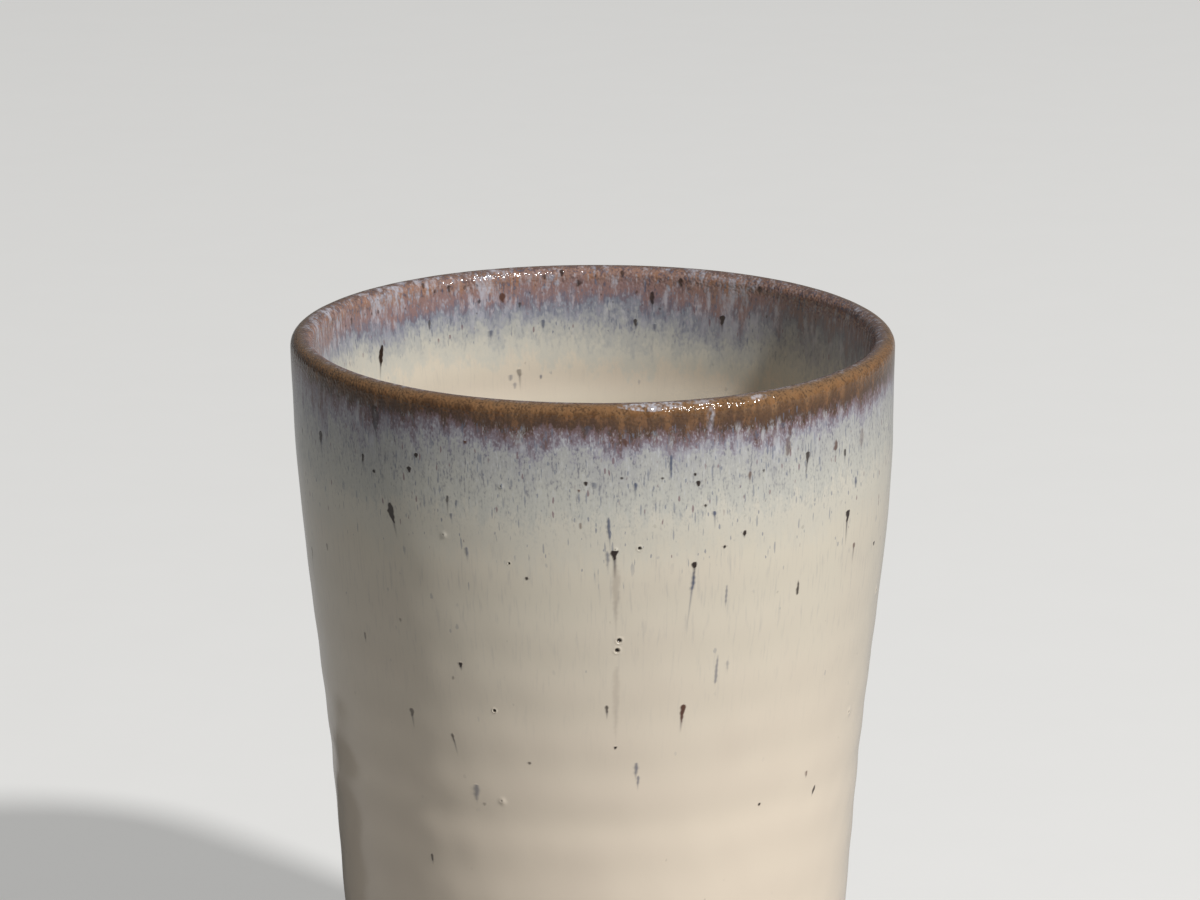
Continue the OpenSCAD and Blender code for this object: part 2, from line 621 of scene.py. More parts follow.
@dataclass(frozen=True)
class StonewareFinish:
    """Bare fired stoneware: toasted, gritty and matt, with dark grains of iron."""

    name: str
    clay: Colour = hue(158, 120, 88)
    toast: Colour = hue(126, 86, 58)
    grog: Colour = hue(188, 158, 124)
    iron: Colour = hue(62, 42, 32)
    cloud_grain: Grain = Grain(9.0, 9.0, 2.2, 3.0)
    fine_grain: Grain = Grain(0.7, 0.7, 4.1, 3.0)
    grog_grain: Grain = Grain(0.9, 0.9, 1.7)
    iron_grain: Grain = Grain(1.1, 1.1, 6.3)
    flashed: Span = (-3.5, 0.0)
    matt: float = 0.84
    relief_mm: float = 0.08

    def make(self) -> bpy.types.Material:
        """Builds the material.

        Returns:
            The material.
        """
        maker = NodeMaker.material(self.name)
        at = maker.attribute("flow", "Vector")
        flash = maker.channel(at, "Z").ease(*self.flashed)
        cloud, fine = (maker.noise(at, grain) for grain in (self.cloud_grain, self.fine_grain))
        made = maker.mix(self.clay, self.toast, (cloud * 2.0 + fine + flash * 0.5).ease(-0.3, 0.7))
        made = maker.mix(made, self.grog, maker.specks(at, self.grog_grain, 0.25) * 0.6)
        made = maker.mix(made, self.iron, maker.specks(at, self.iron_grain, 0.16) * 0.85)
        maker.surface(made, fine * 0.2 + self.matt, fine + cloud * 0.4, self.relief_mm)
        return maker.owner


@dataclass(frozen=True)
class FloorFinish:
    """Plain pale floor, which the camera sees as pale as a backdrop."""

    name: str
    pale: Colour = hue(190, 189, 187)
    shade: Colour = hue(186, 185, 183)
    unlit: Colour = hue(0, 0, 0)
    glow: Colour = hue(255, 254, 251)
    backdrop: float = 0.36
    grain: Grain = Grain(0.02, 0.02, 0.0)
    matt: float = 0.85
    relief_mm: float = 0.01

    def make(self) -> bpy.types.Material:
        """Builds the material.

        Returns:
            The material.
        """
        maker = NodeMaker.material(self.name)
        at = maker.node("ShaderNodeTexCoord", {}, {}, "Object")
        fine = maker.noise(at, self.grain)
        made = maker.mix(self.pale, self.shade, fine + 0.5)
        maker.surface(made, fine * 0.1 + self.matt, fine, self.relief_mm)
        maker.feed(maker.shader.inputs["Emission Color"], maker.mix(self.unlit, self.glow, maker.seen()))
        maker.feed(maker.shader.inputs["Emission Strength"], self.backdrop)
        return maker.owner


@dataclass(frozen=True)
class PhotoCamera:
    """The photograph's viewpoint, fitted to the rim's ellipse and the wall's outline."""

    frame_px: tuple[int, int] = (1200, 900)
    focal_px: float = 5091.0
    sensor_mm: float = 36.0
    right_mm: float = 0.7
    back_mm: float = 720.0
    above_lip_mm: float = 177.6
    tilt_deg: float = 15.08

    def place(self, lip_z: float) -> Points:
        """The lens's place, in millimetres."""
        return np.array([self.right_mm, -self.back_mm, lip_z + self.above_lip_mm])

    def ray(self, x_px: float, y_px: float) -> Points:
        """The direction in which a pixel of the photograph looks.

        Args:
            x_px: pixels from the left edge.
            y_px: pixels from the top edge.

        Returns:
            A direction that goes one millimetre deep for each unit.
        """
        across = (x_px - self.frame_px[0] / 2) / self.focal_px
        up = (self.frame_px[1] / 2 - y_px) / self.focal_px
        tilt = math.radians(self.tilt_deg)
        level, rise = math.cos(tilt), math.sin(tilt)
        return np.array([across, level + up * rise, up * level - rise])

    def build(self, lip_z: float) -> None:
        """Makes the scene's camera.

        Args:
            lip_z: height of the lip.
        """
        data = bpy.data.cameras.new("camera")
        data.sensor_width = self.sensor_mm
        data.lens = self.sensor_mm * self.focal_px / self.frame_px[0]
        camera = bpy.data.objects.new("camera", data)
        camera.location = self.place(lip_z) * MM
        camera.rotation_euler = (math.radians(90 - self.tilt_deg), 0, 0)
        bpy.context.scene.collection.objects.link(camera)
        bpy.context.scene.camera = camera


def rings(node: bpy.types.Object) -> Points:
    """Radius and height of each ring of points in a turned solid, in millimetres."""
    x, y, z = points_of(node.data).T / MM
    return np.unique(np.column_stack([np.hypot(x, y), z]).round(3), axis=0)


def fit_wall(
    found: Points, low: float, high: float, pick: Callable[[Points], int]
) -> np.polynomial.Polynomial:
    """Smooth curve through one face of the wall.

    Args:
        found: radius and height of the solid's rings.
        low: height at which the curve starts.
        high: height at which it ends.
        pick: argmax for the outer face, argmin for the inner one.

    Returns:
        Radius as a polynomial in the height.
    """
    window, degree = 1.6, 5
    chosen = []
    for height in np.arange(low, high + window, window):
        near = found[np.abs(found[:, 1] - height) < window]
        chosen.append(near[pick(near[:, 0])])
    radius, z = np.array(chosen).T
    return np.polynomial.Polynomial.fit(z, radius, degree)


def round_line(axis: float, z: float, size: float, turn: Points) -> Points:
    """Radius and height of points on a round stretch of a section."""
    return np.column_stack([axis + size * np.cos(turn), z + size * np.sin(turn)])


@dataclass
class CupSection:
    """Section of the glazed cup: one smooth line from the glaze's lower edge over the lip to the axis."""

    arc: Points
    line: Points
    lip_z: float

    @classmethod
    def from_nodes(cls, nodes: Mapping[str, bpy.types.Object]) -> "CupSection":
        """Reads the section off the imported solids.

        Args:
            nodes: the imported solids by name.

        Returns:
            The section, evenly stepped along its arc.
        """
        heel_top, heel_tuck, heel_rise, bowl_round, steps = 9.0, 0.25, 1.9, 11.4, 200
        outer, liner, rim = (rings(nodes[name]) for name in ("outer_glaze", "liner_glaze", "rim_glaze"))
        crown = rim[rim[:, 1].argmax()]
        lip_round = rim[:, 0].max() - crown[0]
        lip_z = crown[1] - lip_round
        floor_z = liner[liner[:, 0] < 1, 1].max()
        bowl_z = floor_z + bowl_round
        outside = fit_wall(np.vstack([outer, rim]), heel_top, lip_z, np.argmax)
        inside = fit_wall(np.vstack([liner, rim]), bowl_z, lip_z, np.argmin)
        bowl_axis = inside(bowl_z) - bowl_round
        edge = outer[outer[:, 1].argmin()]
        bend = np.array([outside(heel_top) - heel_tuck, edge[1] + heel_rise])
        end = np.array([outside(heel_top), heel_top])
        u = np.linspace(0, 1, steps)
        turn = u * math.pi
        up = heel_top + u * (lip_z - heel_top)
        down = lip_z + u * (bowl_z - lip_z)
        line = np.vstack([
            np.outer((1 - u) ** 2, edge) + np.outer(2 * u * (1 - u), bend) + np.outer(u * u, end),
            np.column_stack([outside(up), up]),
            round_line(crown[0], lip_z, lip_round, turn),
            np.column_stack([inside(down), down]),
            round_line(bowl_axis, bowl_z, bowl_round, -turn / 2),
            np.column_stack([bowl_axis * (1 - u), np.full(steps, floor_z)]),
        ])
        return cls.smoothed(line, lip_z)

    @classmethod
    def smoothed(cls, line: Points, lip_z: float) -> "CupSection":
        """Steps a line evenly along its arc and melts its corners.

        Args:
            line: radius and height of points along the section.
            lip_z: height of the lip's middle.

        Returns:
            The section, with its arc at 0 on the crown.
        """
        step, blur_mm = 0.05, 0.35
        far = travelled(line)
        keep = np.concatenate([[True], np.diff(far) > 1e-9])
        even = np.arange(0, far[-1], step)
        width = int(4 * blur_mm / step)
        bell = np.exp(-0.5 * (np.arange(-width, width + 1) * step / blur_mm) ** 2)
        smooth = []
        for values in line[keep].T:
            padded = np.pad(np.interp(even, far[keep], values), width, "reflect", reflect_type="odd")
            smooth.append(np.convolve(padded, bell / bell.sum(), "valid"))
        made = np.column_stack(smooth)
        made[-1, 0] = 0.0
        return cls(even - even[made[:, 1].argmax()], made, lip_z)

    @property
    def edge_arc(self) -> float:
        """Arc of the glaze's lower edge, outside."""
        return float(self.arc[0])

    @property
    def floor_arc(self) -> float:
        """Arc of the floor's middle, inside."""
        return float(self.arc[-1])

    def at(self, arc: Points) -> tuple[Points, Points, Points, Points]:
        """Looks up places on the section.

        Args:
            arc: arcs to look up.

        Returns:
            Radius, height, and the two parts of the direction out of the glaze.
        """
        slope = np.gradient(self.line, self.arc, axis=0)
        slope /= np.hypot(*slope.T)[:, None]
        columns = (self.line[:, 0], self.line[:, 1], slope[:, 1], -slope[:, 0])
        return tuple(np.interp(arc, self.arc, column) for column in columns)


@dataclass
class ThrowersHand:
    """Unevenness that throwing and firing left in the wall. A drop is an arc without its sign."""

    lip_z: float
    floor_arc: float
    seed: int = 20
    ripple_count: int = 18
    ripple_turns: tuple[int, int] = (8, 44)
    ripple_waves: Span = (-0.16, 0.16)
    ripple_height: Span = (0.002, 0.006)
    calm_lip: Span = (1.0, 12.0)
    calm_floor: Span = (0.0, 20.0)
    ring_pitch: float = 8.35
    ring_drop: float = 59.7
    ring: float = 0.03
    ring_wander: float = 0.4
    ring_span: Span = (8.0, 22.0)
    groove_drop: float = 63.8
    groove: float = 0.075
    groove_half: float = 2.6
    finger_pitch: float = 9.5
    finger: float = 0.17
    finger_from: Span = (10.0, 24.0)
    finger_to: Span = (0.0, 7.0)
    swell: float = 0.24
    swell_pitch: float = 70.0
    swell_drop: float = 25.0
    swell_from: Span = (4.0, 18.0)
    swell_to: Span = (112.0, 98.0)
    fuller: float = 0.04
    tint_out: float = 2.0
    tint_in: float = -1.5
    lean: float = -0.37
    lean_reach: float = 28.0
    oval: float = 0.14
    oval_from: float = 12.0
    lip_wave: float = 0.09
    wave_reach: float = 35.0
    ripples: list[tuple[int, float, float, float]] = field(init=False)

    def __post_init__(self) -> None:
        """Draws the fine ripples: turns round the cup, waves per millimetre, phase and height of each."""
        draw = np.random.default_rng(self.seed)
        self.ripples = [
            (
                int(draw.integers(*self.ripple_turns)),
                draw.uniform(*self.ripple_waves),
                draw.uniform(0, TURN),
                draw.uniform(*self.ripple_height),
            )
            for _ in range(self.ripple_count)
        ]

    def rings_out(self, angle: Points, drop: Points) -> Points:
        """Throwing rings on the outside: shallow waves of uneven strength, and one deeper groove.

        Args:
            angle: angles round the cup.
            drop: arcs from the crown.

        Returns:
            Millimetres out of the glaze.
        """
        wander = self.ring_wander * np.sin(angle + 0.4)
        wave = np.cos(TURN * (drop - self.ring_drop - wander) / self.ring_pitch)
        strength = self.ring * (1 + 0.35 * np.sin(drop / 11.0 + 2.2) + 0.3 * np.sin(2 * angle + drop / 23.0))
        groove = self.groove * np.exp(-(((drop - self.groove_drop - wander) / self.groove_half) ** 2))
        return (wave * strength - groove * (1 - 0.35 * np.sin(angle))) * ease(drop, *self.ring_span)

    def rings_in(self, angle: Points, drop: Points) -> Points:
        """Finger rings on the inside, which run out on the floor as a spiral.

        Args:
            angle: angles round the cup.
            drop: arcs from the crown.

        Returns:
            Millimetres out of the glaze.
        """
        spiral = np.cos(TURN * drop / self.finger_pitch - angle + 0.5 * np.sin(drop / 13.0))
        strength = self.finger * (1 + 0.3 * np.sin(drop / 17.0))
        made = spiral * strength * ease(drop, *self.finger_from)
        return made * ease(self.floor_arc - drop, *self.finger_to)

    def lift(self, angle: Points, arc: Points) -> Points:
        """Height of the surface above the even section.

        Args:
            angle: angles round the cup.
            arc: arcs along the section.

        Returns:
            Millimetres out of the glaze.
        """
        drop = np.abs(arc)
        even = self.swell * np.cos(TURN * (drop - self.swell_drop) / self.swell_pitch) + self.fuller
        even = even * ease(drop, *self.swell_from) * ease(drop, *self.swell_to)
        made = np.where(arc < 0, even + self.rings_out(angle, drop), self.rings_in(angle, drop))
        calm = ease(self.floor_arc - arc, *self.calm_floor) * (0.35 + 0.65 * ease(drop, *self.calm_lip))
        for turns, waves, phase, height in self.ripples:
            made = made + height * calm * np.cos(turns * angle + TURN * waves * arc + phase)
        return made

    def thinned(self, angle: Points, arc: Points) -> Points:
        """How far the glaze ran off each ring, which tints it.

        Args:
            angle: angles round the cup.
            arc: arcs along the section.

        Returns:
            Shares about 0, up to a half either way.
        """
        drop = np.abs(arc)
        outside = self.tint_out * self.rings_out(angle, drop)
        return np.where(arc < 0, outside, self.tint_in * self.rings_in(angle, drop))

    def shift(self, angle: Points, height: Points) -> tuple[Points, Points, Points]:
        """Moves the whole wall a little: leaning, out of round and uneven at the lip.

        Args:
            angle: angles round the cup.
            height: heights above the foot.

        Returns:
            Shift to the right, outwards and upwards.
        """
        out = self.oval * (np.sin(2 * angle) + 0.6 * np.cos(3 * angle))
        out = out * ease(height, self.oval_from, self.lip_z)
        up = self.lip_wave * (np.cos(2 * angle + 1.2) + 0.4 * np.cos(5 * angle))
        right = self.lean * ease(height, self.lip_z - self.lean_reach, self.lip_z)
        return right, out, up * ease(height, self.lip_z - self.wave_reach, self.lip_z)


class MarkKind(Enum):
    """Kinds of mark that iron and gas leave in the glaze."""

    IRON = "iron"
    RUST = "rust"
    BLUE = "blue"
    MILK_AND_SHEEN = "milk"
    PIT = "pit"
    BLISTER = "blister"


IRON, RUST, BLUE, MILK_AND_SHEEN, PIT, BLISTER = MarkKind
# The iron channel also carries painted shade in pit and blister holes, and the milk channel a painted
# reflection on the lip's crown.
STAIN_CHANNEL = {IRON: 0, RUST: 1, BLUE: 2, MILK_AND_SHEEN: 3}
MARK_SOFTNESS = {IRON: 0.09, RUST: 0.14, BLUE: 0.26, MILK_AND_SHEEN: 0.3}


@dataclass(frozen=True)
class Mark:
    """One mark, with its head's middle at a pixel of the photograph and its sizes in millimetres.

    The belly is the share of its height at which the head is widest. The lean is its drift to the side on the
    way down.
    """

    kind: MarkKind
    x_px: float
    y_px: float
    wide: float
    tall: float
    tail: float = 0.0
    strength: float = 1.0
    lean: float = 0.0
    belly: float = 0.3


LEFT_MARKS = (
    Mark(BLISTER, 378, 411, 0.8, 0.8),
    Mark(IRON, 377, 420, 1.6, 4.0, 3.4, 0.62),
    Mark(IRON, 322, 438, 1.1, 2.0, 1.6),
    Mark(IRON, 304, 432, 0.7, 1.2, 0.0, 0.5),
    Mark(IRON, 364, 459, 0.5, 1.5, 1.2),
    Mark(IRON, 375, 472, 0.55, 0.6),
    Mark(IRON, 411, 470, 0.85, 0.9),
    Mark(IRON, 418, 456, 0.7, 0.8),
    Mark(IRON, 393, 513, 1.25, 3.1, 2.2, 0.95, 0.2, 0.42),
    Mark(IRON, 328, 547, 0.7, 1.2, 0.0, 0.5),
    Mark(IRON, 449, 500, 0.45, 1.3, 1.8, 0.75),
    Mark(BLUE, 458, 503, 0.4, 0.9, 0.8, 0.5),
    Mark(BLUE, 453, 516, 0.4, 0.9, 0.8, 0.7),
    Mark(BLISTER, 445, 535, 0.9, 0.9),
    Mark(BLUE, 468, 552, 0.4, 1.5, 1.0, 0.7),
    Mark(RUST, 467, 443, 0.5, 0.6),
    Mark(IRON, 365, 636, 0.5, 1.2, 0.6, 0.6),
    Mark(IRON, 401, 620, 0.4, 0.7, 0.0, 0.5),
    Mark(IRON, 461, 665, 0.65, 0.9, 0.5),
    Mark(IRON, 453, 678, 0.4, 0.6, 0.0, 0.5),
    Mark(IRON, 411, 713, 0.8, 1.5, 1.8, 0.7, 0.1),
    Mark(IRON, 453, 738, 0.4, 1.4, 2.2, 0.8, 0.18),
    Mark(PIT, 494, 711, 0.55, 0.55),
    Mark(BLUE, 476, 793, 0.9, 2.6, 0.6, 0.65),
    Mark(BLISTER, 502, 802, 1.1, 1.1),
    Mark(IRON, 484, 805, 0.45, 0.6, 0.0, 0.4),
    Mark(IRON, 432, 858, 0.5, 1.2, 0.5, 0.8),
)
CENTRE_MARKS = (
    Mark(BLISTER, 503, 487, 0.9, 0.9),
    Mark(IRON, 588, 484, 0.6, 0.7),
    Mark(BLUE, 597, 486, 0.8, 1.0, 0.0, 0.5),
    Mark(RUST, 581, 491, 0.4, 0.5),
    Mark(IRON, 624, 478, 0.4, 0.4, 0.0, 0.85, 0.0, 0.5),
    Mark(IRON, 664, 478, 0.4, 0.4, 0.0, 0.85, 0.0, 0.5),
    Mark(RUST, 628, 443, 0.75, 1.3, 0.0, 0.9, 0.25),
    Mark(BLUE, 591, 430, 0.8, 1.2, 0.0, 0.4),
    Mark(BLUE, 673, 466, 0.35, 3.4, 0.6),
    Mark(BLUE, 637, 487, 0.45, 1.4, 1.6),
    Mark(BLUE, 610, 529, 0.42, 3.6, 2.0, 0.9, 0.04, 0.4),
    Mark(BLISTER, 616, 549, 0.6, 0.6),
    Mark(IRON, 615, 555, 1.2, 1.6, 2.8, 1.0, 0.0, 0.1),
    Mark(RUST, 616, 594, 0.95, 9.0, 3.0, 0.24),
    Mark(BLUE, 608, 559, 0.45, 2.6, 1.0, 0.7),
    Mark(PIT, 640, 548, 0.65, 0.65),
    Mark(PIT, 510, 563, 0.38, 0.38),
    Mark(IRON, 527, 578, 0.5, 0.55, 0.0, 0.95, 0.0, 0.5),
    Mark(RUST, 582, 526, 0.35, 1.0, 0.0, 0.6),
    Mark(IRON, 694, 564, 0.9, 0.95, 2.6, 1.0, -0.05, 0.5),
    Mark(BLUE, 692, 582, 0.45, 3.6, 6.0, 1.0, -0.1, 0.5),
    Mark(PIT, 619, 640, 0.85, 0.85),
    Mark(PIT, 617, 650, 0.85, 0.85),
    Mark(IRON, 607, 710, 0.45, 1.5, 0.8, 0.85),
    Mark(RUST, 616, 702, 0.8, 11.0, 2.0, 0.16),
    Mark(IRON, 615, 748, 0.5, 0.55),
    Mark(RUST, 682, 714, 0.85, 3.0, 1.4, 1.0, -0.06, 0.12),
    Mark(BLUE, 636, 771, 0.5, 2.4, 0.6, 0.75),
    Mark(BLUE, 638, 782, 0.35, 1.8, 0.6, 0.7),
    Mark(IRON, 529, 764, 0.45, 0.5, 0.0, 0.8),
    Mark(BLUE, 716, 668, 0.4, 4.8, 0.6, 0.62, -0.05, 0.74),
    Mark(BLUE, 727, 665, 0.35, 1.6, 0.6, 0.4),
)
RIGHT_MARKS = (
    # The crown patches (first, third and fourth) are partly milky glaze and partly a painted reflection on the
    # lip's crown; the second is a milky run.
    Mark(MILK_AND_SHEEN, 657, 406, 9.0, 1.8, 0.0, 0.8, 0.0, 0.5),
    Mark(MILK_AND_SHEEN, 713, 418, 0.9, 4.0, 0.0, 0.66, -0.08, 0.5),
    Mark(MILK_AND_SHEEN, 706, 401, 4.0, 1.1, 0.0, 0.5, 0.0, 0.5),
    Mark(MILK_AND_SHEEN, 762, 396, 3.0, 1.1, 0.0, 0.6, 0.0, 0.5),
    Mark(IRON, 700, 483, 0.75, 0.85),
    Mark(IRON, 697, 474, 0.4, 0.5),
    Mark(IRON, 706, 505, 0.4, 0.5),
    Mark(BLUE, 715, 513, 0.5, 1.0, 1.8),
    Mark(IRON, 744, 532, 0.55, 0.95, 0.4, 1.0, 0.0, 0.5),
    Mark(IRON, 724, 546, 0.45, 0.5),
    Mark(RUST, 792, 431, 0.65, 2.2, 0.0, 0.75),
    Mark(RUST, 790, 445, 1.0, 3.0, 0.6, 0.6, -0.06, 0.6),
    Mark(BLUE, 785, 425, 0.8, 1.0, 0.0, 0.5),
    Mark(IRON, 809, 457, 0.9, 1.8, 2.6, 0.9, -0.14, 0.12),
    Mark(RUST, 837, 444, 0.8, 1.8, 0.8, 0.85, 0.0, 0.7),
    Mark(IRON, 846, 452, 0.6, 1.2, 1.2, 0.85, 0.0, 0.5),
    Mark(RUST, 863, 437, 1.2, 2.8, 0.6, 0.36, 0.0, 0.5),
    Mark(BLUE, 759, 436, 0.5, 0.9, 0.0, 0.6),
    Mark(IRON, 765, 470, 0.4, 0.5, 0.0, 0.8),
    Mark(RUST, 751, 475, 0.5, 1.3, 0.6, 0.8),
    Mark(IRON, 846, 517, 1.1, 2.2, 3.4, 1.0, -0.04, 0.08),
    Mark(RUST, 852, 545, 0.8, 0.9, 2.6, 0.8),
    Mark(IRON, 872, 543, 0.8, 0.7),
    Mark(BLUE, 855, 482, 0.5, 1.8),
    Mark(IRON, 796, 586, 0.5, 2.5, 0.0, 0.9, 0.0, 0.76),
    Mark(BLISTER, 875, 590, 1.4, 1.1),
    Mark(BLUE, 725, 595, 0.26, 3.4, 0.6, 0.66, 0.0, 0.5),
    Mark(RUST, 807, 774, 0.5, 0.9, 0.3, 0.8),
    Mark(IRON, 815, 790, 0.6, 1.3, 0.4, 0.9, -0.4, 0.5),
    Mark(IRON, 760, 805, 0.45, 0.5),
    Mark(BLISTER, 850, 712, 1.3, 1.1),
)
INSIDE_MARKS = (
    Mark(IRON, 384, 356, 0.9, 3.4, 2.2, 1.0, 0.22, 0.45),
    Mark(IRON, 725, 322, 0.9, 1.9, 1.2, 0.95, 0.0, 0.15),
    Mark(IRON, 655, 299, 0.7, 2.4, 0.8, 0.85, 0.0, 0.4),
    Mark(BLUE, 512, 378, 0.6, 1.0, 0.0, 0.55),
    Mark(BLUE, 542, 377, 0.4, 0.6, 0.0, 0.7),
    Mark(IRON, 638, 323, 0.6, 1.3, 0.6, 0.85),
    Mark(IRON, 426, 286, 0.7, 1.0, 0.0, 0.7),
    Mark(IRON, 452, 289, 0.6, 1.4, 0.0, 0.75),
    Mark(RUST, 505, 298, 1.0, 1.6, 0.0, 0.9),
    Mark(IRON, 482, 302, 0.5, 0.8, 0.0, 0.7),
    Mark(IRON, 522, 305, 0.5, 0.9, 0.4, 0.7),
    Mark(IRON, 432, 325, 0.45, 1.6, 0.4, 0.7),
    Mark(IRON, 355, 321, 0.5, 1.3, 0.4, 0.65),
    Mark(BLUE, 493, 334, 0.7, 1.2, 0.6, 0.8),
    Mark(BLUE, 545, 324, 0.6, 1.4, 0.6, 0.8),
    Mark(IRON, 547, 277, 0.5, 0.9, 0.0, 0.7),
    Mark(IRON, 564, 273, 0.7, 1.2, 0.0, 0.85),
    Mark(IRON, 582, 284, 0.7, 1.5, 0.0, 0.85),
    Mark(IRON, 625, 274, 0.6, 1.2, 0.0, 0.75),
    Mark(IRON, 684, 283, 0.7, 1.6, 0.4, 0.8),
    Mark(IRON, 763, 291, 0.8, 1.4, 0.4, 0.75),
    Mark(BLUE, 657, 327, 0.5, 1.0, 0.4, 0.7),
    Mark(BLUE, 516, 386, 0.5, 1.0, 0.0, 0.5),
)


@dataclass(frozen=True)
class PlacedMark:
    """A mark on the cup's surface, by the angle and arc of its head's middle."""

    mark: Mark
    angle: float
    arc: float
    radius: float

    def local(self, angle: Points, arc: Points) -> tuple[Points, Points]:
        """Offsets from the head's middle.

        Args:
            angle: angles round the cup.
            arc: arcs along the section.

        Returns:
            Millimetres to the side, along the mark's lean, and millimetres down the wall.
        """
        down = (arc - self.arc) * (1 if self.arc > 0 else -1)
        turn = (angle - self.angle + math.pi) % TURN - math.pi
        return turn * self.radius - self.mark.lean * down, down

    def near(self, angle: Points, arc: Points, margin: float) -> Points:
        """Finds the places on a mark and close to it.

        Args:
            angle: angles round the cup.
            arc: arcs along the section.
            margin: millimetres round the mark's box that still count.

        Returns:
            Whether each place is near.
        """
        side, down = self.local(angle, arc)
        half = self.mark.tall / 2 + margin
        return (np.abs(side) < self.mark.wide / 2 + margin) & (down > -half) & (down < half + self.mark.tail)

    def head(self, side: Points, down: Points) -> Points:
        """The head, which swells from a rounded top to its belly and narrows from there to a ragged point.

        Args:
            side: millimetres to the side.
            down: millimetres down.

        Returns:
            A mask, 1 in the head.
        """
        mark = self.mark
        u = np.clip(down / mark.tall + 0.5, 0, 1)
        blunt = 0.5 + 3 * max(mark.belly - 0.5, 0)
        above = np.clip(1 - (1 - u / mark.belly) ** 2, 0, 1) ** blunt
        below = 1 - np.clip((u - mark.belly) / (1 - mark.belly), 0, 1) ** (1 + 2 * mark.belly)
        half = mark.wide / 2 * np.where(u < mark.belly, above, below)
        own = mark.x_px + mark.y_px
        bent = side + mark.wide * (0.07 * np.sin(2.3 * down + own) + 0.03 * np.sin(6.1 * down + 2 * own))
        ragged = 0.04 * np.sin(7.0 * side + own) + 0.03 * np.sin(8.0 * down + 3 * own)
        soft = min(MARK_SOFTNESS[mark.kind] * (2.5 - 1.5 * mark.strength), 0.4 * mark.wide)
        return ease(half - np.abs(bent) + ragged, -soft, soft) * ease(half, 0.0, 0.08)

    def tail(self, side: Points, down: Points) -> Points:
        """The thin run below the head.

        Args:
            side: millimetres to the side.
            down: millimetres down.

        Returns:
            A mask, which fades towards the run's end.
        """
        if not self.mark.tail:
            return np.zeros_like(side)
        start = self.mark.tall * 0.1
        share = np.clip((down - start) / (self.mark.tall * 0.4 + self.mark.tail), 0, 1)
        thin = (0.1 + 0.1 * self.mark.wide) * (1 - 0.5 * share)
        return np.exp(-((side / thin) ** 2)) * (1 - share) * ease(down, start - 0.2, start + 0.2)

    def crater(self, side: Points, down: Points) -> tuple[Points, Points]:
        """A burst bubble: a blister with an off-centre hole, or a pit with a ridge round it.

        Args:
            side: millimetres to the side.
            down: millimetres down.

        Returns:
            Lift of the surface, and the mask of painted shade in the hole.
        """
        size = self.mark.wide / 2
        away = np.hypot(side, down) / size
        if self.mark.kind is BLISTER:
            off = np.hypot(side + 0.25 * size, down + 0.15 * size) / size
            dome = 0.14 * np.exp(-(away ** 2) * 1.3)
            return dome - 0.1 * np.exp(-((off / 0.3) ** 2)), 0.5 * ease(off, 0.34, 0.16)
        ridge = 0.05 * np.exp(-(((away - 1.15) / 0.35) ** 2))
        return ridge - 0.32 * np.exp(-((away / 0.72) ** 4)), ease(away, 0.85, 0.55)


